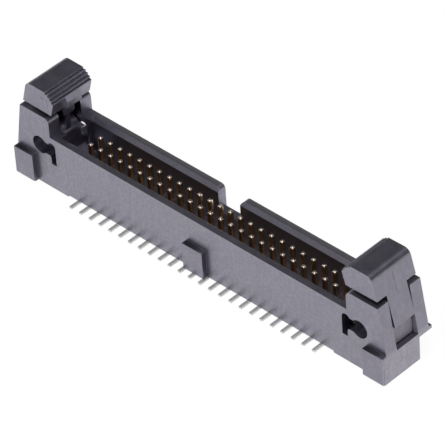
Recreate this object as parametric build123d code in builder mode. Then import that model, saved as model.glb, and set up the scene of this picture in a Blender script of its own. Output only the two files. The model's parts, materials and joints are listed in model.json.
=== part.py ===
# Latched board header with contacts 1.27 mm apart: a moulded housing, two rows of
# surface-mount contacts, and a pivoting latch between the cheeks at each end.
# Millimetres. The origin is the centre of the contact grid on the board plane,
# X runs along the rows, +Y points to the wall with the polarising notch, +Z points up.

import os

from build123d import *

os.makedirs("parts", exist_ok=True)

# Contact grid
pitch = 1.27
columns = 25
row_y = pitch / 2
row_reach = (columns - 1) / 2 * pitch

# Contact: square post, gull-wing foot on the board
post = 0.40
post_top = 5.76
tip_drop = 0.24
tip_taper = 28
foot_thick = 0.20
foot_reach = 3.90
bend_inner = 0.15
bend_outer = 0.35

# Shroud
half_width = 2.76
rim_top = 6.08
wall = 0.96
lead_in = 0.35
cavity_floor = 2.05
cavity_reach = 17.60
wall_bottom = 0.20
root_recess_top = 0.95
root_recess_half = 1.95
root_recess_reach = row_reach + 1.0

# End towers: two cheeks with a latch slot between them, open above
cheek_inner = 18.43
cheek_top = 8.14
cheek_top_reach = 22.15
end_reach = 23.03
cheek_round = 0.55
foot_inner = 16.65
slot_half = 1.40
slot_floor = 2.00
sill_top = 2.99
sill_inner = 22.48
above = 1.0

# Pads, proud of the long walls next to the board
pad_proud = 0.36
pad_top = 2.93
end_pad_inner = 20.62
middle_pad_half = 1.20
middle_pad_bottom = 0.57
rear_pad_bottom = 2.57
rear_cut_y = 1.50

# Keyhole in each cheek: pivot hole, neck, small lobe and relief slot
pivot_x = 19.88
pivot_z = 4.55
pivot_hole_r = 0.94
lobe_x = 18.32
lobe_z = 4.97
lobe_r = 0.48
neck_low = 3.88
neck_high = 5.18
relief_outer = 18.49
relief_bottom = 2.97
land_round = 0.28

# Polarising notch in the rear wall
notch_half = 1.36
notch_round = 0.45
notch_floor = 3.60

# Latch head: ridged thumb face towards the cavity, flat crown, sloping outer face
head_half = 2.50
head_bottom = 8.60
head_inner = 18.29
nose_x = 17.92
nose_z = 10.05
brow_x = 18.34
brow_z = 10.66
crown_x = 18.97
crown_z = 11.04
shoulder_x = 21.37
shoulder_round = 0.75
ridges = 4
ridge_cut = 0.24

# Latch arm: outer plate with a lip, middle rib, hook and its block, hub and toe
arm_half = 1.29
lip_x = 22.81
lip_bottom = 5.27
recess_face = 22.36
heel_bottom = 2.83
heel_cut = 0.12
plate_inner = 21.07
rib_half = 0.30
rib_inner = 18.79
block_half = 0.70
block_inner = 18.57
block_bottom = 7.05
block_round = 0.40
hook_half = 0.90
hook_inner = 17.69
hook_top = 9.53
hook_low = 8.89
hook_root = 8.05
hub_r = 1.35
boss_reach = 1.70
running_gap = 0.05
toe_tip = 16.70
toe_bottom = 2.39
toe_top = 2.90
toe_knee_x = 18.28
toe_knee_z = 3.16
toe_back = 18.64
toe_root = 19.29
weld = 0.20

# Turn of the latches from square with the cheek tops, outward positive, as they rest
closed_turn = -1.0


def plate_x(z):
    """X of the latch's outer face at height z, on the line from shoulder to lip."""
    return lip_x - (z - lip_bottom) * (lip_x - shoulder_x) / (crown_z - lip_bottom)


# Housing: side profile with both towers, drawn for +X and mirrored
with BuildPart() as housing:
    with BuildSketch(Plane.XZ) as side_profile:
        with BuildLine():
            Polyline(
                (0, wall_bottom),
                (foot_inner, wall_bottom),
                (foot_inner, 0),
                (end_reach, 0),
                (end_reach, pad_top),
                (cheek_top_reach, cheek_top),
                (cheek_inner, cheek_top),
                (cheek_inner, rim_top),
                (0, rim_top),
                (0, wall_bottom),
            )
        make_face()
        cheek_corner = side_profile.vertices().sort_by_distance((cheek_inner, cheek_top))[0]
        fillet(cheek_corner, radius=cheek_round)
        mirror(about=Plane.YZ)
    extrude(amount=half_width, both=True)

    # Pads on the front wall, and the short ones at the rear corners
    with BuildSketch(Plane.XZ.offset(half_width)):
        for side in (-1, 1):
            with Locations((side * (end_pad_inner + end_reach) / 2, pad_top / 2)):
                Rectangle(end_reach - end_pad_inner, pad_top)
        with Locations((0, (middle_pad_bottom + pad_top) / 2)):
            Rectangle(2 * middle_pad_half, pad_top - middle_pad_bottom)
    extrude(amount=pad_proud)
    with BuildSketch(Plane.XZ.offset(-half_width)):
        for side in (-1, 1):
            with Locations((side * (end_pad_inner + end_reach) / 2, (rear_pad_bottom + pad_top) / 2)):
                Rectangle(end_reach - end_pad_inner, pad_top - rear_pad_bottom)
    extrude(amount=-pad_proud)

    # Mating cavity with a lead-in along both long walls
    with BuildSketch(Plane.YZ):
        with BuildLine():
            Polyline(
                (0, cavity_floor),
                (half_width - wall, cavity_floor),
                (half_width - wall, rim_top - lead_in),
                (half_width - wall + lead_in, rim_top),
                (half_width - wall + lead_in, cheek_top + above),
                (0, cheek_top + above),
                (0, cavity_floor),
            )
        make_face()
        mirror(about=Plane.YZ)
    extrude(amount=cavity_reach, both=True, mode=Mode.SUBTRACT)

    # Latch slots, open above and through the end over a low sill
    with BuildSketch(Plane.XZ):
        with BuildLine():
            Polyline(
                (cavity_reach - above, cavity_floor + above),
                (cavity_reach, slot_floor),
                (sill_inner, slot_floor),
                (sill_inner, sill_top),
                (end_reach + above, sill_top),
                (end_reach + above, cheek_top + above),
                (cavity_reach - above, cheek_top + above),
                (cavity_reach - above, cavity_floor + above),
            )
        make_face()
        mirror(about=Plane.YZ)
    extrude(amount=slot_half, both=True, mode=Mode.SUBTRACT)

    # Keyholes through all four cheeks
    with BuildSketch(Plane.XZ) as keyhole:
        with Locations((pivot_x, pivot_z)):
            Circle(pivot_hole_r)
        with Locations((lobe_x, lobe_z)):
            Circle(lobe_r)
        with Locations(((lobe_x + pivot_x) / 2, (neck_low + neck_high) / 2)):
            Rectangle(pivot_x - lobe_x, neck_high - neck_low)
        with Locations(((lobe_x - lobe_r + relief_outer) / 2, (relief_bottom + lobe_z) / 2)):
            Rectangle(relief_outer - lobe_x + lobe_r, lobe_z - relief_bottom)
        land = keyhole.vertices().sort_by_distance((relief_outer, neck_low))[0]
        fillet(land, radius=land_round)
        mirror(about=Plane.YZ)
    extrude(amount=half_width, both=True, mode=Mode.SUBTRACT)

    # Polarising notch with rounded shoulders
    with BuildSketch(Plane.XZ.offset(-half_width)):
        with BuildLine():
            Line((0, notch_floor), (notch_half, notch_floor))
            Line((notch_half, notch_floor), (notch_half, rim_top - notch_round))
            RadiusArc(
                (notch_half, rim_top - notch_round),
                (notch_half + notch_round, rim_top),
                notch_round,
            )
            Polyline(
                (notch_half + notch_round, rim_top),
                (notch_half + notch_round, rim_top + above),
                (0, rim_top + above),
                (0, notch_floor),
            )
        make_face()
        mirror(about=Plane.YZ)
    extrude(amount=half_width, mode=Mode.SUBTRACT)

    # Root recess under the floor, where the feet leave, and the post holes
    with BuildSketch(Plane.XY):
        Rectangle(2 * root_recess_reach, 2 * root_recess_half)
    extrude(amount=root_recess_top, mode=Mode.SUBTRACT)
    with BuildSketch(Plane.XY):
        with GridLocations(pitch, 2 * row_y, columns, 2):
            Rectangle(post, post)
    extrude(amount=cavity_floor + above, mode=Mode.SUBTRACT)

    # Rear lower corners cut back under the short pads
    with BuildSketch(Plane.XY):
        for side in (-1, 1):
            with Locations((side * (end_pad_inner + end_reach) / 2, (rear_cut_y + half_width) / 2)):
                Rectangle(end_reach - end_pad_inner, half_width - rear_cut_y)
    extrude(amount=rear_pad_bottom, mode=Mode.SUBTRACT)
housing.part.label = "housing"
export_step(housing.part, "parts/housing.step")

# Latch, drawn for +X and square with the cheek tops
with BuildPart() as latch:
    # Head, with the ridges cut along its curved thumb face
    with BuildSketch(Plane.XZ) as head_profile:
        with BuildLine():
            Line((head_inner, head_bottom), (nose_x, nose_z))
            ThreePointArc((nose_x, nose_z), (brow_x, brow_z), (crown_x, crown_z))
            Polyline(
                (crown_x, crown_z),
                (shoulder_x, crown_z),
                (plate_x(head_bottom), head_bottom),
                (head_inner, head_bottom),
            )
        make_face()
        shoulder = head_profile.vertices().sort_by_distance((shoulder_x, crown_z))[0]
        fillet(shoulder, radius=shoulder_round)
    extrude(amount=head_half, both=True)
    thumb_face = ThreePointArc((nose_x, nose_z), (brow_x, brow_z), (crown_x, crown_z))
    with BuildSketch(Plane.XZ):
        for step in range(ridges):
            valley = thumb_face @ ((step + 0.5) / ridges)
            with Locations((valley.X, valley.Y)):
                Rectangle(ridge_cut, ridge_cut)
    extrude(amount=head_half, both=True, mode=Mode.SUBTRACT)

    # Outer plate down to its lip, then set back to the heel
    with BuildSketch(Plane.XZ):
        with BuildLine():
            Polyline(
                (plate_inner, head_bottom + weld),
                (plate_x(head_bottom + weld), head_bottom + weld),
                (lip_x, lip_bottom),
                (recess_face, lip_bottom),
                (recess_face, heel_bottom + heel_cut),
                (recess_face - heel_cut, heel_bottom),
                (pivot_x, heel_bottom),
                (pivot_x, pivot_z),
                (plate_inner, pivot_z + hub_r),
                (plate_inner, head_bottom + weld),
            )
        make_face()
    extrude(amount=arm_half, both=True)

    # Middle rib, the block above it and the hook under the nose
    with BuildSketch(Plane.XZ):
        with Locations(((rib_inner + plate_inner) / 2, (pivot_z + head_bottom + weld) / 2)):
            Rectangle(plate_inner - rib_inner, head_bottom + weld - pivot_z)
    extrude(amount=rib_half, both=True)
    with BuildSketch(Plane.XZ) as block_profile:
        with Locations(((block_inner + plate_inner) / 2, (block_bottom + head_bottom + weld) / 2)):
            Rectangle(plate_inner - block_inner, head_bottom + weld - block_bottom)
        block_toe = block_profile.vertices().sort_by_distance((block_inner, block_bottom))[0]
        fillet(block_toe, radius=block_round)
    extrude(amount=block_half, both=True)
    with BuildSketch(Plane.XZ):
        with BuildLine():
            Polyline(
                (nose_x, nose_z),
                (hook_inner, hook_top),
                (hook_inner, hook_low),
                (block_inner, hook_root),
                (crown_x, hook_root),
                (crown_x, nose_z),
                (nose_x, nose_z),
            )
        make_face()
    extrude(amount=hook_half, both=True)

    # Hub, pivot bosses and the lifting toe under the plug
    with BuildSketch(Plane.XZ):
        with Locations((pivot_x, pivot_z)):
            Circle(hub_r)
    extrude(amount=arm_half, both=True)
    with BuildSketch(Plane.XZ):
        with Locations((pivot_x, pivot_z)):
            Circle(pivot_hole_r - running_gap)
    extrude(amount=boss_reach, both=True)
    with BuildSketch(Plane.XZ):
        with BuildLine():
            Polyline(
                (toe_tip, toe_bottom),
                (toe_root, toe_bottom),
                (pivot_x, heel_bottom),
                (pivot_x, pivot_z),
                (toe_back, pivot_z),
                (toe_knee_x, toe_knee_z),
                (toe_tip, toe_top),
                (toe_tip, toe_bottom),
            )
        make_face()
    extrude(amount=arm_half, both=True)

pivot_axis = Axis((pivot_x, 0, pivot_z), (0, 1, 0))
with BuildPart() as latch_right:
    add(latch.part.rotate(pivot_axis, closed_turn))
latch_right.part.label = "latch_right"
export_step(latch_right.part, "parts/latch_right.step")

with BuildPart() as latch_left:
    add(latch.part.rotate(pivot_axis, closed_turn).mirror(Plane.YZ))
latch_left.part.label = "latch_left"
export_step(latch_left.part, "parts/latch_left.step")

# Contacts: one solid each, the foot turned outwards from its own row
for row_name, side in (("front", -1), ("back", 1)):
    for column in range(columns):
        x = (column - (columns - 1) / 2) * pitch
        with BuildPart() as pin:
            with BuildSketch(Plane.YZ.offset(x)) as pin_profile:
                with BuildLine():
                    Polyline(
                        (side * (row_y - post / 2), 0),
                        (side * foot_reach, 0),
                        (side * foot_reach, foot_thick),
                        (side * (row_y + post / 2), foot_thick),
                        (side * (row_y + post / 2), post_top - tip_drop),
                        (side * (row_y - post / 2), post_top - tip_drop),
                        (side * (row_y - post / 2), 0),
                    )
                make_face()
                corners = pin_profile.vertices()
                heel = corners.sort_by_distance((side * (row_y - post / 2), 0))[0]
                crook = corners.sort_by_distance((side * (row_y + post / 2), foot_thick))[0]
                fillet(heel, radius=bend_outer)
                fillet(crook, radius=bend_inner)
            extrude(amount=post / 2, both=True)
            with BuildSketch(Plane.XY.offset(post_top - tip_drop)):
                with Locations((x, side * row_y)):
                    Rectangle(post, post)
            extrude(amount=tip_drop, taper=tip_taper)
        node = f"pin_{row_name}_{column + 1:02d}"
        pin.part.label = node
        export_step(pin.part, f"parts/{node}.step")
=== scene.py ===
import json

import bpy
import numpy as np
from mathutils import Matrix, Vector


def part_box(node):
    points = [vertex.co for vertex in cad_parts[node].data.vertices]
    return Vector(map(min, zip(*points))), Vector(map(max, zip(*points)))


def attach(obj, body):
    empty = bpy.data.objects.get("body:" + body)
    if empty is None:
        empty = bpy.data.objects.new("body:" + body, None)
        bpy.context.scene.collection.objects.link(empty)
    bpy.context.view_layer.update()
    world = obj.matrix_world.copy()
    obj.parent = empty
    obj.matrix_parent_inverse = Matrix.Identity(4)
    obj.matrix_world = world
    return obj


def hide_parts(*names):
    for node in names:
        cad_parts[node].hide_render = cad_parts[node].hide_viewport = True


bl_info = {
    "name": "Latched pin header",
    "version": (1, 0, 0),
    "blender": (4, 5, 0),
    "location": "View3D > Sidebar > Header",
    "description": "Finishes for a shrouded board header with end latches, and its studio",
    "category": "Object",
}

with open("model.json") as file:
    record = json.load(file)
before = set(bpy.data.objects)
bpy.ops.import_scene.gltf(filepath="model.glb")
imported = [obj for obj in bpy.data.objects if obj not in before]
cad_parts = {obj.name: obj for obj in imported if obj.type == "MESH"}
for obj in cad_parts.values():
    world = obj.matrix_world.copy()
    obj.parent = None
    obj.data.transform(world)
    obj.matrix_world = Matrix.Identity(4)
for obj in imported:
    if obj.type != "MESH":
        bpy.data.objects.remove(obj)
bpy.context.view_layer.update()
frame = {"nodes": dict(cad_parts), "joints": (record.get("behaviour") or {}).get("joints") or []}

MM = 0.001
HOUSING = "housing"
LATCHES = ("latch_left", "latch_right")
CONTACTS = sorted(name for name in frame["nodes"] if name.startswith("pin_"))
PIVOTS = {joint["child"]: joint["pos_m"] for joint in frame["joints"]}
SHARP_TURN = 40.0


def contact_sizes():
    """Width, height and foot reach of a contact, read from the frame."""
    low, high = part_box(CONTACTS[-1])
    return high.x - low.x, high.z, -low.y


POST_WIDTH, POST_TOP, FOOT_REACH = contact_sizes()

# Shader maths

MATH_OPERATORS = {
    "__add__": ("ADD", False),
    "__radd__": ("ADD", True),
    "__sub__": ("SUBTRACT", False),
    "__rsub__": ("SUBTRACT", True),
    "__mul__": ("MULTIPLY", False),
    "__rmul__": ("MULTIPLY", True),
}


class Wire:
    """A socket's value in a finish. Arithmetic on it adds Math nodes."""

    def __init__(self, finish, socket):
        self.finish = finish
        self.socket = socket


def overload(name, operation, reflected):
    """Gives Wire one arithmetic operator."""

    def apply(self, other):
        first, second = (other, self) if reflected else (self, other)
        return self.finish.node("ShaderNodeMath", {"operation": operation}, {0: first, 1: second})

    setattr(Wire, name, apply)


for operator_name, (operation_name, is_reflected) in MATH_OPERATORS.items():
    overload(operator_name, operation_name, is_reflected)


class Finish:
    """One material's node tree, filled by calls to node()."""

    def __init__(self, name):
        self.material = bpy.data.materials.new(name)
        self.material.use_nodes = True
        self.tree = self.material.node_tree
        self.tree.nodes.clear()

    def node(self, kind, settings=None, inputs=None, output=0):
        """Adds a node of that type. Its settings are set first, then its sockets, by name or
        number, from Wires or from plain values. Returns one of its outputs, if it has any."""
        made = self.tree.nodes.new(kind)
        for key, value in (settings or {}).items():
            setattr(made, key, value)
        for key, value in (inputs or {}).items():
            if isinstance(value, Wire):
                self.tree.links.new(value.socket, made.inputs[key])
            else:
                made.inputs[key].default_value = value
        return Wire(self, made.outputs[output]) if made.outputs else None

    def place(self, scale=(1000.0, 1000.0, 1000.0)):
        """Object coordinates, by default in millimetres."""
        inside = self.node("ShaderNodeTexCoord", output="Object")
        return self.node("ShaderNodeMapping", {"vector_type": "POINT"}, {"Vector": inside, "Scale": scale})

    def noise(self, place, scale, detail=3.0, rough=0.5):
        """Noise from 0 to 1 with that many features to the unit of place."""
        return self.node(
            "ShaderNodeTexNoise",
            {"noise_dimensions": "3D"},
            {"Vector": place, "Scale": scale, "Detail": detail, "Roughness": rough},
            output="Fac",
        )

    def span(self, value, low, high, out_low=0.0, out_high=1.0):
        """value carried smoothly from low..high to out_low..out_high, held at both ends."""
        return self.node(
            "ShaderNodeMapRange",
            {"clamp": True, "interpolation_type": "SMOOTHSTEP"},
            {"Value": value, "From Min": low, "From Max": high, "To Min": out_low, "To Max": out_high},
        )

    def mix(self, factor, first, second):
        """Colour from first to second as factor goes from 0 to 1."""
        return self.node(
            "ShaderNodeMix",
            {"data_type": "RGBA", "blend_type": "MIX"},
            {0: factor, 6: first, 7: second},
            output=2,
        )

    def part(self, place, axis):
        """One component, X, Y or Z, of a vector."""
        return self.node("ShaderNodeSeparateXYZ", None, {"Vector": place}, output=axis)

    def size(self, place, axis):
        """One component of place without its sign."""
        return self.node("ShaderNodeMath", {"operation": "ABSOLUTE"}, {0: self.part(place, axis)})

    def most(self, first, *others):
        """The largest of the values."""
        for other in others:
            first = self.node("ShaderNodeMath", {"operation": "MAXIMUM"}, {0: first, 1: other})
        return first

    def near(self, value, target, reach):
        """1 where value is within reach of target, and 0 elsewhere."""
        return self.node("ShaderNodeMath", {"operation": "COMPARE"}, {0: value, 1: target, 2: reach})

    def within(self, place, reach):
        """1 where each component of place is within plus or minus reach, and 0 outside."""
        inside = 1.0
        for axis, limit in enumerate(reach):
            reached = self.node(
                "ShaderNodeMath", {"operation": "LESS_THAN"}, {0: self.size(place, axis), 1: limit}
            )
            inside = reached * inside
        return inside

    def rounded(self, radius):
        """The normal of a surface whose edges are rounded to radius, and how near an edge a
        point is: one less the cosine between that normal and the flat one, spread to 0..1."""
        soft = self.node("ShaderNodeBevel", {"samples": 6}, {"Radius": radius})
        flat = self.node("ShaderNodeNewGeometry", output="True Normal")
        cosine = self.node(
            "ShaderNodeVectorMath", {"operation": "DOT_PRODUCT"}, {0: soft, 1: flat}, output="Value"
        )
        return soft, self.span(1.0 - cosine, 0.0, 0.25)

    def bump(self, height, depth, strength, normal=None):
        """A normal bumped by height, 0 to 1, times depth in metres."""
        inputs = {"Height": height, "Distance": depth, "Strength": strength}
        if normal is not None:
            inputs["Normal"] = normal
        return self.node("ShaderNodeBump", None, inputs)

    def close(self, **sockets):
        """Ends the tree in a Principled surface with those sockets and returns the material."""
        named = {name.replace("_", " "): value for name, value in sockets.items()}
        surface = self.node("ShaderNodeBsdfPrincipled", None, named)
        return self.show(surface)

    def show(self, surface):
        """Links a surface to the tree's output and returns the material."""
        self.node("ShaderNodeOutputMaterial", None, {"Surface": surface})
        return self.material


def tinted(colour, factor):
    """A colour with its red, green and blue multiplied by factor, and full alpha."""
    return tuple(channel * factor for channel in colour) + (1.0,)


def dress(node, material):
    """Gives a CAD node one material."""
    slots = frame["nodes"][node].data.materials
    slots.clear()
    slots.append(material)


# Surfaces


def put_mesh(name, points, faces, material):
    """Makes a smooth object at the origin from an array of points in metres and a list of
    faces."""
    mesh = bpy.data.meshes.new(name)
    mesh.from_pydata(points.tolist(), [], faces)
    mesh.materials.append(material)
    mesh.polygons.foreach_set("use_smooth", np.ones(len(mesh.polygons), dtype=bool))
    mesh.validate()
    mesh.update()
    made = bpy.data.objects.new(name, mesh)
    bpy.context.scene.collection.objects.link(made)
    return made


def sharpen(made):
    """Marks as sharp the edges where the faces turn by more than SHARP_TURN degrees."""
    made.data.set_sharp_from_angle(angle=np.radians(SHARP_TURN))


def tube_faces(rings, around):
    """Faces of a closed tube of rings with around points each, row after row, with a
    polygon over each end. Quad (i, j) joins points j and j + 1 of rings i and i + 1."""
    ring, step = np.meshgrid(np.arange(rings - 1), np.arange(around), indexing="ij")
    following = (step + 1) % around
    quads = np.stack([
        ring * around + step, ring * around + following,
        (ring + 1) * around + following, (ring + 1) * around + step,
    ], axis=-1).reshape(-1, 4)
    first = list(range(around))[::-1]
    last = list(range((rings - 1) * around, rings * around))
    return quads.tolist() + [first, last]


def rounded_box_ring(corner_steps):
    """A square with corners at plus and minus 1, as unit directions: corner signs, and the
    cosine and sine of the angle round each corner, from which a section takes any size and
    corner radius."""
    quarter = np.pi / 2
    angle = np.concatenate([np.linspace(k * quarter, (k + 1) * quarter, corner_steps) for k in range(4)])
    signs = np.repeat(np.array([[1, 1], [-1, 1], [-1, -1], [1, -1]]), corner_steps, axis=0)
    return signs, np.stack([np.cos(angle), np.sin(angle)], axis=-1)


def contact_surface(x, side, look):
    """A square post bent into a foot, as a rounded box section carried along a path.

    Two lines in the YZ plane bound it. The heel line runs down the post's inner side, round
    an arc of the outer bend radius and out along the board. The crook line runs down the
    outer side, round the inner bend radius and out along the foot's top. Ring k joins their
    k-th points: point = middle + a * half width * X + b * half distance * direction, with
    (a, b) on a box whose corners are rounded to the edge radius, or to nine tenths of the
    smaller half size. At the tip the rings shrink to f + (1 - f) * the square root of 1 - t
    squared, t going from 0 to 1 up the tip, and f being the share left at its end."""
    half = POST_WIDTH / 2
    row_y = look.row_offset
    edge = look.edge_radius
    bend = np.linspace(0.0, np.pi / 2, 9)
    outer, inner, thick = look.outer_bend, look.inner_bend, look.foot_thickness
    heel_arc = np.stack([row_y - half + outer * (1 - np.cos(bend)), outer * (1 - np.sin(bend))], axis=-1)
    crook_arc = np.stack(
        [row_y + half + inner * (1 - np.cos(bend)), thick + inner * (1 - np.sin(bend))], axis=-1
    )
    depth = np.linspace(0.0, 1.0, 7)
    tip_z = POST_TOP - look.tip_height * (1 - depth)
    shrink = look.tip_flat + (1 - look.tip_flat) * np.sqrt(1 - depth**2)
    heel = np.concatenate([
        np.stack([row_y - half * shrink[::-1], tip_z[::-1]], axis=-1),
        heel_arc,
        [[FOOT_REACH - edge, 0.0], [FOOT_REACH, edge]],
    ])
    crook = np.concatenate([
        np.stack([row_y + half * shrink[::-1], tip_z[::-1]], axis=-1),
        crook_arc,
        [[FOOT_REACH - edge, thick], [FOOT_REACH, thick - edge]],
    ])
    width = np.concatenate([half * shrink[::-1], np.full(len(bend) + 1, half), [half - edge]])
    middle = (heel + crook) / 2
    reach = (crook - heel) / 2
    length = np.linalg.norm(reach, axis=1)
    signs, turn = rounded_box_ring(3)
    corner = np.minimum(edge, np.minimum(width, length) * 0.9)
    a = signs[None, :, 0] * (width - corner)[:, None] + turn[None, :, 0] * corner[:, None]
    b = signs[None, :, 1] * (length - corner)[:, None] + turn[None, :, 1] * corner[:, None]
    direction = reach / length[:, None]
    points = np.empty(a.shape + (3,))
    points[..., 0] = x + a
    points[..., 1] = side * (middle[:, None, 0] + b * direction[:, None, 0])
    points[..., 2] = middle[:, None, 1] + b * direction[:, None, 1]
    faces = tube_faces(len(middle), a.shape[1])
    if side > 0:
        faces = [face[::-1] for face in faces]
    return points.reshape(-1, 3), faces


def side_of(node):
    """-1 for the left latch and 1 for the right one."""
    return -1.0 if node == "latch_left" else 1.0


def turned_at_rest(node, points, look):
    """Points of a right latch before its turn, turned about the pivot as the latch is at rest,
    and mirrored in X for the left latch:
    x = px + dx * cos(turn) + dz * sin(turn) and z = pz - dx * sin(turn) + dz * cos(turn)."""
    sign = side_of(node)
    turn = np.radians(look.closed_turn)
    pivot = np.array(PIVOTS[node]) * (sign, 1.0, 1.0)
    off = points - pivot
    return np.stack([
        pivot[0] + off[..., 0] * np.cos(turn) + off[..., 2] * np.sin(turn),
        points[..., 1],
        pivot[2] - off[..., 0] * np.sin(turn) + off[..., 2] * np.cos(turn),
    ], axis=-1) * (sign, 1.0, 1.0)


def seam_surface(node, look):
    """A low rib down the middle of a latch's outer face, of which half shows.

    Along the face, at t from 0.02 to 0.98, the section is r * (cos u, sin u) for u round a circle,
    with r = seam radius * the square root of sin(pi * t), so that it thins to both ends.
    The whole is turned as the latch is at rest."""
    t = np.linspace(0.02, 0.98, 25)
    z = look.seam_top + (look.seam_bottom - look.seam_top) * t
    slope = (look.lip_x - look.shoulder_x) / (look.shoulder_z - look.lip_z)
    x = look.shoulder_x + slope * (look.shoulder_z - z)
    u = np.linspace(0, 2 * np.pi, 12, endpoint=False)
    r = look.seam_radius * np.sqrt(np.sin(np.pi * t))
    square = np.stack([
        x[:, None] + r[:, None] * np.cos(u), r[:, None] * np.sin(u), np.repeat(z[:, None], len(u), axis=1)
    ], axis=-1)
    points = turned_at_rest(node, square, look)
    faces = tube_faces(len(t), len(u))
    if side_of(node) > 0:
        faces = [face[::-1] for face in faces]
    return points.reshape(-1, 3), faces


def mark_surface(node, look):
    """A low round mark on the side of a latch's head, a profile turned about a line in Y.

    Its profile rises from the face to a bead of height h at the mark's radius R and dips
    inside it: out = h * (0.2 + 0.8 * s ** 6) for s = r / R up to 1. From the bead it falls to
    0.05 mm inside the head at 1.12 R. It is on the front of the left head and on the back of
    the right one, and the whole is turned as the latch is at rest."""
    s = np.linspace(0.05, 1.0, 12)
    r = np.append(look.mark_radius * s, look.mark_radius * 1.12)
    out = np.append(look.mark_height * (0.2 + 0.8 * s**6), -0.05 * MM)
    u = np.linspace(0, 2 * np.pi, 32, endpoint=False)
    square = np.stack([
        look.mark_x + r[:, None] * np.cos(u),
        np.repeat(side_of(node) * (look.head_half + out)[:, None], len(u), axis=1),
        look.mark_z + r[:, None] * np.sin(u),
    ], axis=-1)
    points = turned_at_rest(node, square, look)
    return points.reshape(-1, 3), tube_faces(len(r), len(u))


def pad_surface(x_range, z_range, look):
    """The outer part of a pad on the front wall: a rounded rectangle in the XZ plane, carried
    outwards along -Y from inside the wall.

    Its last rings shrink round a quarter circle of radius R, so that the front edge is round:
    inset = R * (1 - cos t) and y = face - R * (1 - sin t), for t from 0 to 90 degrees. The
    corners have a radius of 1.5 R."""
    edge = look.pad_round
    middle = np.array([sum(x_range), sum(z_range)]) / 2
    half = np.array([x_range[1] - x_range[0], z_range[1] - z_range[0]]) / 2
    t = np.linspace(0, np.pi / 2, 5)
    inset = np.append(0.0, edge * (1 - np.cos(t)))
    y = np.append(look.pad_root, look.pad_face - edge * (1 - np.sin(t)))
    signs, turn = rounded_box_ring(3)
    corner = 1.5 * edge
    flat = middle + signs * (half - corner) + turn * (corner - inset)[:, None, None]
    points = np.stack([
        flat[..., 0], np.repeat(-y[:, None], len(signs), axis=1), flat[..., 1]
    ], axis=-1)
    return points.reshape(-1, 3), tube_faces(len(y), len(signs))


def sweep_floor(radius, flat, rise):
    """A round floor that curves up at its rim. It lies 0.02 mm below the object, level as far
    as flat, and from there rises by rise * (1 - the square root of 1 - s squared), s being the
    share of the way from flat to radius, up to 0.995."""
    rings, around = 40, 96
    s = np.linspace(0.0, 0.995, rings)
    r = flat + (radius - flat) * s
    z = rise * (1 - np.sqrt(1 - s**2)) - 0.02 * MM
    angle = np.linspace(0, 2 * np.pi, around, endpoint=False)
    points = np.stack([
        r[:, None] * np.cos(angle), r[:, None] * np.sin(angle), np.repeat(z[:, None], around, axis=1)
    ], axis=-1).reshape(-1, 3)
    faces = tube_faces(rings, around)[:-1]
    return points, [face[::-1] for face in faces]


# Finishes

# Where the moulding's finish, its painted shade and its painted light change, in millimetres.
# CAVITY, SLOT, KEYHOLES and WINDOW are reaches from the middle along X, along Y and up, the
# first two with their height in the settings. An INNER is a distance along X, a SILL a height,
# and REAR_RIM a stretch of Y.
CAVITY = (17.70, 1.85)
SLOT = (21.95, 1.45)
KEYHOLES = (20.90, 2.74, 5.55)
KEYHOLES_INNER = 17.75
WINDOW = (23.02, 1.42, 5.22)
WINDOW_INNER = 22.20
WINDOW_SILL = 2.90
RECESS_SILL = 3.00
TOWERS_INNER = 17.50
REAR_RIM = (1.60, 2.90)


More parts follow.
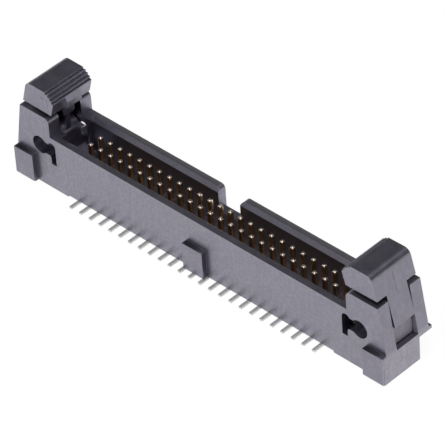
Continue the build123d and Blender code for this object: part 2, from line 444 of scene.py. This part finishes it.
def moulded_plastic(look):
    """Satin black moulding: near-black colour with faint flow streaks along the rows and
    a painted highlight, a paler colour, along the edges, a mottled skin with upright scuffs,
    and a grain and slow waviness in relief.

    Masks by place change single faces. The end faces are glossier and take painted light, a paler
    colour; the pads' faces and patches of the towers have less skin, and the top of the rear rim
    takes painted light, a paler colour. The cavity, latch slots, keyholes and windows have no skin
    and take painted shade, a darker colour. The face below each latch's lip is rough and takes
    painted light, a pale colour. The sides of the front pads have no skin and take painted shade:
    they reflect as a dark tinted metal does, which gives them one even dark tone."""
    finish = Finish("moulded_black")
    place = finish.place()
    along, across, height = finish.size(place, 0), finish.size(place, 1), finish.part(place, 2)
    streaks = finish.noise(finish.place((300.0, 1400.0, 1400.0)), 1.2, 4.0, 0.6)
    blotches = finish.noise(place, 0.9, 3.0)
    grain = finish.noise(place, 22.0, 2.0)
    mottle = finish.noise(place, 3.2, 4.0, 0.65)
    scuffs = finish.noise(finish.place((4200.0, 4200.0, 500.0)), 1.0, 3.0, 0.6)
    soft, edge = finish.rounded(look.edge_radius)
    shade = finish.span(streaks * 0.5 + blotches * 0.5, 0.32, 0.68)
    colour = finish.mix(shade, tinted(look.colour, 0.72), tinted(look.colour, 1.25))
    # Painted highlight: a paler colour along the edges, standing in for light caught on rounded edges.
    colour = finish.mix(edge * look.edge_highlight, colour, tinted(look.edge_highlight_colour, 1.0))
    specks = finish.noise(place, 7.0, 2.0, 0.6)
    skin = finish.span(mottle * 0.5 + specks * 0.3 + scuffs * 0.2, 0.41, 0.59, 0.0, look.skin * 2.0)
    end_x, pad_y = look.end_x / MM, look.pad_y / MM
    ends = finish.span(along, end_x - 0.08, end_x - 0.03)
    pads = finish.span(across, pad_y - 0.10, pad_y - 0.05)
    band_middle = -0.5 * (look.pad_face + look.wall_y) / MM
    band_reach = 0.5 * (look.pad_face - look.wall_y) / MM - look.pad_round / MM
    band = finish.near(finish.part(place, 1), band_middle, band_reach)
    band = band * finish.span(along, end_x - 0.06, end_x - 0.03, 1.0, 0.0)
    texture = grain * 0.6 + blotches * 0.4
    rough = finish.span(texture, 0.3, 0.7, look.roughness - 0.05, look.roughness + 0.06)
    cavity = finish.within(place, CAVITY + (look.cavity_top / MM,))
    slot = finish.within(place, SLOT + (look.slot_top / MM,))
    keyholes = finish.span(along, KEYHOLES_INNER, KEYHOLES_INNER + 0.05) * finish.within(place, KEYHOLES)
    window = finish.span(along, WINDOW_INNER, WINDOW_INNER + 0.05) * finish.within(place, WINDOW)
    window = window * finish.span(height, WINDOW_SILL, WINDOW_SILL + 0.05)
    recess = window * finish.span(height, RECESS_SILL, RECESS_SILL + 0.03)
    inside = finish.most(cavity, slot, keyholes, window - recess)
    handled = finish.noise(finish.place((1500.0, 1500.0, 600.0)), 1.0, 3.0, 0.6)
    towers = finish.span(along, TOWERS_INNER, TOWERS_INNER + 1.0) * finish.span(handled, 0.46, 0.62)
    skin = skin + ends * look.end_gloss - pads * look.pad_dullness - towers * look.handling
    skin = skin * (1.0 - inside - band)
    # Painted light: the end faces take a paler colour.
    colour = finish.mix(ends, colour, tinted(look.end_painted_light_colour, 1.0))
    # Painted light: the top of the rear rim takes a paler colour.
    rim = finish.near(height, look.rim_top / MM, 0.02) * finish.span(finish.part(place, 1), *REAR_RIM)
    colour = finish.mix(rim, colour, tinted(look.rim_painted_light_colour, 1.0))
    # Painted shade: the cavity, slots, keyholes and the window below its recess take a darker colour.
    colour = finish.mix(inside, colour, tinted(look.colour, look.inner_painted_shade))
    # Painted light: the face below each latch's lip takes a pale colour.
    colour = finish.mix(recess, colour, tinted(look.recess_painted_light_colour, 1.0))
    # Painted shade: the front pads' sides take a dark colour, as a dark metal through Metallic below.
    colour = finish.mix(band, colour, tinted(look.pad_side_painted_shade_colour, 1.0))
    rough = rough - inside * look.inner_polish + recess * look.recess_rough
    wavy = finish.bump(blotches, 0.012 * MM, 0.35, soft)
    relief = finish.bump(grain, 0.004 * MM, 0.35, wavy)
    # Metallic on the front pads' sides is part of their painted shade.
    return finish.close(
        Base_Color=colour, Metallic=band, Roughness=rough, Normal=relief, IOR=look.ior,
        Specular_IOR_Level=look.specular, Specular_Tint=tinted(look.sheen_colour, 1.0),
        Coat_Weight=skin, Coat_Roughness=look.roughness,
    )


def plated_metal(look):
    """Gold on the mating end, paler at the tip as a painted highlight, and tin below the plating line, with
    a faint wander of the line, drawing marks along the post and a duller foot."""
    finish = Finish("plated_contact")
    place = finish.place()
    height = finish.part(place, 2)
    marks = finish.noise(finish.place((9000.0, 9000.0, 700.0)), 1.0, 3.0)
    cloud = finish.noise(place, 4.0, 3.0)
    line = look.plating_line / MM
    gilt = finish.span(height + cloud * 0.12, line, line + 0.15)
    gold = finish.mix(cloud, tinted(look.gold, 0.86), tinted(look.gold, 1.06))
    tin = finish.mix(cloud, tinted(look.tin, 0.80), tinted(look.tin, 1.06))
    post_top = POST_TOP / MM
    tip = finish.span(height, post_top - 0.30, post_top - 0.10)
    # Painted highlight: the tips take a paler gold.
    gold = finish.mix(tip, gold, tinted(look.tip_highlight_gold, 1.0))
    colour = finish.mix(gilt, tin, gold)
    rough = finish.span(gilt + marks * 0.2, 0.0, 1.2, 0.36, 0.22) + tip * look.tip_rough
    relief = finish.bump(marks, 0.002 * MM, 0.3)
    shine = finish.span(gilt, 0.0, 1.0, 0.64, 1.0)
    return finish.close(Base_Color=colour, Metallic=shine, Roughness=rough, Normal=relief)


def paper_floor(look):
    """Pale matt floor. To the camera and in reflections it is mostly its own white, and partly
    lit white, so that it keeps a soft shadow."""
    finish = Finish("paper_floor")
    fibres = finish.noise(finish.place(), 0.35, 4.0)
    colour = finish.mix(fibres, tinted(look.floor_colour, 0.985), tinted(look.floor_colour, 1.0))
    lit = finish.node("ShaderNodeBsdfDiffuse", None, {"Color": colour})
    own = finish.node(
        "ShaderNodeEmission", None, {"Color": tinted(look.floor_colour, 1.0), "Strength": look.own_white}
    )
    seen = finish.node("ShaderNodeLightPath", output="Is Camera Ray")
    mirrored = finish.node("ShaderNodeLightPath", output="Is Glossy Ray")
    through = finish.node("ShaderNodeLightPath", output="Is Transmission Ray")
    share = (seen + mirrored + through) * look.floor_glow
    return finish.show(finish.node("ShaderNodeMixShader", None, {0: share, 1: lit, 2: own}))


# Settings


def colour_property(name, description, default):
    """A colour setting."""
    return bpy.props.FloatVectorProperty(
        name=name, description=description, subtype="COLOR", size=3, min=0.0, max=1.0, default=default
    )


def length_property(name, description, millimetres):
    """A length setting, given in millimetres and kept in metres."""
    return bpy.props.FloatProperty(
        name=name, description=description, subtype="DISTANCE", unit="LENGTH", precision=6,
        default=millimetres * MM,
    )


def number_property(name, description, default, low=0.0, high=1.0):
    """A number between two limits, by default a share from 0 to 1."""
    return bpy.props.FloatProperty(
        name=name, description=description, subtype="FACTOR", min=low, max=high, default=default
    )


def degrees_property(name, description, default):
    """An angle in degrees."""
    return bpy.props.FloatProperty(name=name, description=description, default=default)


class PlasticLook(bpy.types.PropertyGroup):
    """The moulding's finish, and the sizes of the seams, round marks and front pads."""

    colour: colour_property("Colour", "Base colour of the moulding", (0.011, 0.010, 0.014))
    sheen_colour: colour_property("Sheen", "Tint of the gloss", (0.86, 0.825, 1.0))
    roughness: number_property("Roughness", "Roughness of the gloss", 0.38)
    ior: number_property("IOR", "Index of refraction of the filled plastic", 2.24, 1.0, 3.0)
    specular: number_property("Gloss level", "Strength of the gloss", 0.95)
    skin: number_property("Skin", "Middle strength of the mottled skin", 0.42)
    # The edge colour and its strength below paint a highlight along the edges.
    edge_highlight_colour: colour_property("Edge colour", "Colour of rubbed edges", (0.180, 0.172, 0.198))
    edge_radius: length_property("Edge radius", "Rounding of the moulded edges", 0.03)
    edge_highlight: number_property("Rub", "Strength of the rubbed edges", 0.60)
    end_x: length_property("End", "Distance of the glossier end faces from the middle", 23.03)
    # The end colour is painted light on the end faces.
    end_painted_light_colour: colour_property("End colour", "Colour of the rubbed end faces", (0.078, 0.068, 0.074))
    end_gloss: number_property("End gloss", "Skin added on the end faces", 0.50)
    handling: number_property("Handling", "Skin taken in patches from the towers", 0.42)
    rim_top: length_property("Rim", "Height of the rim", 6.08)
    # The rim colour is painted light on the rear rim's top.
    rim_painted_light_colour: colour_property("Rim colour", "Colour of the rubbed rear rim", (0.062, 0.060, 0.060))
    cavity_top: length_property("Cavity top", "Height where the darker cavity begins", 5.72)
    slot_top: length_property("Slot top", "Height where the darker latch slots begin", 7.90)
    # The inner shade is painted shade on the inner faces.
    inner_painted_shade: number_property("Inner shade", "Colour of the inner faces as a share of the rest", 0.90)
    inner_polish: number_property("Inner polish", "Roughness taken from the inner faces", 0.05)
    # The recess colour is painted light on the face below the lip.
    recess_painted_light_colour: colour_property("Recess colour", "Colour of the face below the lip", (0.175, 0.155, 0.170))
    recess_rough: number_property("Recess roughness", "Roughness added below the lip", 0.30)
    pad_y: length_property("Pad", "Distance of the solids' pad faces from the middle", 3.12)
    pad_dullness: number_property("Pad dullness", "Skin taken from the pads' faces", 0.25)
    wall_y: length_property("Wall", "Distance of the long walls' faces from the middle", 2.76)
    pad_face: length_property("Front pad", "Distance of the front pads' faces from the middle", 3.32)
    pad_root: length_property("Pad root", "Distance from the middle where the front pads begin", 2.70)
    pad_round: length_property("Pad edge", "Rounding of the front pads' edges", 0.04)
    # The pad side tone is painted shade on the front pads' sides.
    pad_side_painted_shade_colour: colour_property("Pad side", "Tone of the front pads' sides", (0.115, 0.110, 0.130))
    middle_pad_half: length_property("Middle pad", "Half the length of the middle pad", 1.24)
    middle_pad_low: length_property("Middle pad low", "Height where the middle pad begins", 0.24)
    middle_pad_top: length_property("Middle pad top", "Height where the middle pad ends", 3.19)
    end_pad_inner: length_property("End pad inner", "Where the end pads begin, from the middle", 20.60)
    end_pad_outer: length_property("End pad outer", "Where the end pads end, from the middle", 23.02)
    end_pad_low: length_property("End pad low", "Height where the end pads begin", 0.10)
    end_pad_top: length_property("End pad top", "Height where the end pads end", 3.14)
    seam_radius: length_property("Seam radius", "Radius of the seam on a latch", 0.045)
    seam_top: length_property("Seam top", "Height where the seam starts", 10.45)
    seam_bottom: length_property("Seam bottom", "Height where the seam ends", 8.05)
    mark_x: length_property("Mark", "Distance of the head's round mark from the middle", 19.18)
    mark_z: length_property("Mark height", "Height of the head's round mark", 9.70)
    mark_radius: length_property("Mark radius", "Radius of the head's round mark", 0.50)
    mark_height: length_property("Mark relief", "How far the round mark's bead stands out", 0.035)
    head_half: length_property("Head half", "Half the head's width across the header", 2.50)
    shoulder_x: length_property("Shoulder", "Distance of the latch's shoulder from the middle", 21.37)
    shoulder_z: length_property("Shoulder height", "Height of the latch's shoulder", 11.04)
    lip_x: length_property("Lip", "Distance of the latch's lip from the middle", 22.81)
    lip_z: length_property("Lip height", "Height of the latch's lip", 5.27)
    closed_turn: degrees_property("Closed turn", "Turn of the latches at rest, outward, in degrees", -1.0)


class ContactLook(bpy.types.PropertyGroup):
    """The contacts' sizes that the frame's boxes don't give, and their plating."""

    gold: colour_property("Gold", "Colour of the mating end", (0.90, 0.66, 0.36))
    # The tip gold is a painted highlight on the tips.
    tip_highlight_gold: colour_property("Tip gold", "Colour of the burnished tips", (1.0, 0.86, 0.71))
    tip_rough: number_property("Tip roughness", "Roughness added on the tips", 0.03)
    tin: colour_property("Tin", "Colour of the soldered end", (0.80, 0.79, 0.78))
    plating_line: length_property("Plating line", "Height where gold gives way to tin", 1.40)
    row_offset: length_property("Row offset", "Distance of a row from the middle", 0.635)
    edge_radius: length_property("Edge radius", "Rounding of the contact's edges", 0.04)
    tip_height: length_property("Tip height", "Length of the rounded tip", 0.24)
    tip_flat: number_property("Tip flat", "Width of the tip's end as a share of the post", 0.35, 0.1)
    foot_thickness: length_property("Foot thickness", "Thickness of the foot", 0.20)
    outer_bend: length_property("Outer bend", "Bend radius at the heel", 0.35)
    inner_bend: length_property("Inner bend", "Bend radius at the crook", 0.15)


class StudioLook(bpy.types.PropertyGroup):
    """Floor, lamps and camera."""

    floor_colour: colour_property("Floor", "Colour of the floor", (1.0, 1.0, 1.0))
    floor_glow: number_property("Unlit share", "Share of the floor's look that isn't lit", 0.90)
    own_white: number_property("Own white", "Level of the floor's unlit white", 1.03, 0.0, 2.0)
    world_level: number_property("Room", "Level of the room's even light", 0.066, 0.0, 2.0)
    lamp_level: number_property("Lamps", "Level of the lamps' light on the floor", 1.0, 0.0, 4.0)
    azimuth: degrees_property("Azimuth", "Camera's turn about Z, in degrees", 46.367)
    elevation: degrees_property("Elevation", "Camera's height angle, in degrees", 40.002)
    roll: degrees_property("Roll", "Camera's roll, in degrees", 4.121)
    lens: number_property("Lens", "Focal length in mm, for a sensor 36 mm wide", 316.09, 10.0, 500.0)
    distance: length_property("Distance", "Distance along the view to the contact tips", 349.78)
    off_right: length_property("Right", "Contact tips' middle, to the right of the view's axis", -0.6144)
    off_down: length_property("Down", "Contact tips' middle, below the view's axis", -1.2129)


# Stage


def set_room(scene, look):
    """An even grey room."""
    scene.world = bpy.data.worlds.new("room")
    scene.world.use_nodes = True
    room = scene.world.node_tree.nodes["Background"]
    room.inputs["Color"].default_value = (1.0, 1.0, 1.0, 1.0)
    room.inputs["Strength"].default_value = look.world_level


def set_lamps(look):
    """Soft square lamps round the object, each aimed at it. A lamp of power P at distance d
    and height angle h lights a white floor to P * sin(h) / (pi * d) ** 2, where 1 is white.
    Each row is a name, a place and a width in metres, and the level that the lamp gives."""
    lamps = (
        ("key", (0.12, -0.14, 0.66), 0.62, 0.95),
        ("fill", (-0.85, -0.95, 0.80), 1.20, 0.024),
    )
    for name, position, width, level in lamps:
        data = bpy.data.lights.new(name, "AREA")
        data.shape = "SQUARE"
        data.size = width
        place = np.array(position)
        distance = np.linalg.norm(place)
        data.energy = look.lamp_level * level * (np.pi * distance) ** 2 * distance / place[2]
        lamp = bpy.data.objects.new(name, data)
        back = place / distance
        side = np.cross((0.0, 0.0, 1.0), back)
        side /= np.linalg.norm(side)
        up = np.cross(back, side)
        axes = np.column_stack([side, up, back, place])
        lamp.matrix_world = Matrix(np.vstack([axes, (0, 0, 0, 1)]).tolist())
        bpy.context.scene.collection.objects.link(lamp)


def set_camera(scene, look):
    """A long lens aimed at the contacts from the front right and above."""
    azimuth, elevation, roll = np.radians([look.azimuth, look.elevation, look.roll])
    back = np.array([
        np.sin(azimuth) * np.cos(elevation), -np.cos(azimuth) * np.cos(elevation), np.sin(elevation)
    ])
    right = np.array([np.cos(azimuth), np.sin(azimuth), 0.0])
    down = np.cross(-back, right)
    turned_right = np.cos(roll) * right + np.sin(roll) * down
    turned_down = -np.sin(roll) * right + np.cos(roll) * down
    tips = np.array([0.0, 0.0, POST_TOP])
    place = tips - look.off_right * turned_right - look.off_down * turned_down + look.distance * back
    data = bpy.data.cameras.new("camera")
    data.sensor_width = 36.0
    data.lens = look.lens
    data.clip_start = 0.01
    camera = bpy.data.objects.new("camera", data)
    axes = np.column_stack([turned_right, -turned_down, back, place])
    camera.matrix_world = Matrix(np.vstack([axes, (0, 0, 0, 1)]).tolist())
    scene.collection.objects.link(camera)
    scene.camera = camera


# Operators


class HEADER_OT_mould(bpy.types.Operator):
    """Gives the housing and the latches their moulded finish"""

    bl_idname = "header.mould"
    bl_label = "Finish mouldings"

    def execute(self, context):
        material = moulded_plastic(context.scene.header_plastic)
        for node in (HOUSING,) + LATCHES:
            dress(node, material)
        return {"FINISHED"}


class HEADER_OT_seams(bpy.types.Operator):
    """Adds the moulding seam on each latch's outer face"""

    bl_idname = "header.seams"
    bl_label = "Add latch seams"

    def execute(self, context):
        look = context.scene.header_plastic
        for node in LATCHES:
            material = frame["nodes"][node].data.materials[0]
            points, faces = seam_surface(node, look)
            seam = put_mesh(node.replace("latch", "seam"), points, faces, material)
            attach(seam, node)
        return {"FINISHED"}


class HEADER_OT_marks(bpy.types.Operator):
    """Adds the round mark on the side of each latch's head"""

    bl_idname = "header.marks"
    bl_label = "Add head marks"

    def execute(self, context):
        look = context.scene.header_plastic
        for node in LATCHES:
            material = frame["nodes"][node].data.materials[0]
            points, faces = mark_surface(node, look)
            mark = put_mesh(node.replace("latch", "mark"), points, faces, material)
            sharpen(mark)
            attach(mark, node)
        return {"FINISHED"}


class HEADER_OT_pads(bpy.types.Operator):
    """Brings the pads on the front wall out to their full depth"""

    bl_idname = "header.pads"
    bl_label = "Add front pads"

    def execute(self, context):
        look = context.scene.header_plastic
        material = frame["nodes"][HOUSING].data.materials[0]
        middle = (-look.middle_pad_half, look.middle_pad_half)
        pads = (
            ("left", (-look.end_pad_outer, -look.end_pad_inner), (look.end_pad_low, look.end_pad_top)),
            ("middle", middle, (look.middle_pad_low, look.middle_pad_top)),
            ("right", (look.end_pad_inner, look.end_pad_outer), (look.end_pad_low, look.end_pad_top)),
        )
        for side, x_range, z_range in pads:
            points, faces = pad_surface(x_range, z_range, look)
            pad = put_mesh("front_pad_" + side, points, faces, material)
            sharpen(pad)
            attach(pad, "header")
        return {"FINISHED"}


class HEADER_OT_contacts(bpy.types.Operator):
    """Makes the contacts with rounded edges and tips, plated gold and tin"""

    bl_idname = "header.contacts"
    bl_label = "Make contacts"

    def execute(self, context):
        look = context.scene.header_contact
        material = plated_metal(look)
        for node in CONTACTS:
            low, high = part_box(node)
            side = -1 if node.startswith("pin_front") else 1
            points, faces = contact_surface((low.x + high.x) / 2, side, look)
            contact = put_mesh(node.replace("pin", "contact"), points, faces, material)
            sharpen(contact)
            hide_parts(node)
            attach(contact, "header")
        return {"FINISHED"}


class HEADER_OT_stage(bpy.types.Operator):
    """Sets up the floor, the lamps, the room and the camera"""

    bl_idname = "header.stage"
    bl_label = "Set stage"

    def execute(self, context):
        look = context.scene.header_studio
        points, faces = sweep_floor(radius=1.6, flat=0.9, rise=0.5)
        floor = put_mesh("floor", points, faces, paper_floor(look))
        set_room(context.scene, look)
        set_lamps(look)
        set_camera(context.scene, look)
        context.scene.view_settings.view_transform = "Standard"
        return {"FINISHED"}


PANEL_ROWS = (
    ((HEADER_OT_mould, HEADER_OT_seams, HEADER_OT_marks, HEADER_OT_pads), "header_plastic"),
    ((HEADER_OT_contacts,), "header_contact"),
    ((HEADER_OT_stage,), "header_studio"),
)


class HEADER_PT_panel(bpy.types.Panel):
    """Lists the pieces' operators and their settings"""

    bl_idname = "HEADER_PT_panel"
    bl_label = "Pin header"
    bl_space_type = "VIEW_3D"
    bl_region_type = "UI"
    bl_category = "Header"

    def draw(self, context):
        for operators, group in PANEL_ROWS:
            box = self.layout.box()
            settings = getattr(context.scene, group)
            for name in settings.bl_rna.properties.keys():
                if name not in ("rna_type", "name"):
                    box.prop(settings, name)
            for operator in operators:
                box.operator(operator.bl_idname)


GROUPS = {"header_plastic": PlasticLook, "header_contact": ContactLook, "header_studio": StudioLook}
OPERATORS = (
    HEADER_OT_mould, HEADER_OT_seams, HEADER_OT_marks, HEADER_OT_pads, HEADER_OT_contacts, HEADER_OT_stage
)


def register():
    """Registers the classes and hangs the settings on the scene."""
    for group in GROUPS.values():
        bpy.utils.register_class(group)
    for operator in OPERATORS:
        bpy.utils.register_class(operator)
    bpy.utils.register_class(HEADER_PT_panel)
    for name, group in GROUPS.items():
        setattr(bpy.types.Scene, name, bpy.props.PointerProperty(type=group))


def unregister():
    """Undoes register."""
    for name in GROUPS:
        delattr(bpy.types.Scene, name)
    bpy.utils.unregister_class(HEADER_PT_panel)
    for operator in reversed(OPERATORS):
        bpy.utils.unregister_class(operator)
    for group in GROUPS.values():
        bpy.utils.unregister_class(group)


def main():
    register()
    bpy.ops.header.mould()
    bpy.ops.header.seams()
    bpy.ops.header.marks()
    bpy.ops.header.pads()
    bpy.ops.header.contacts()
    bpy.ops.header.stage()


if __name__ == "__main__":
    main()
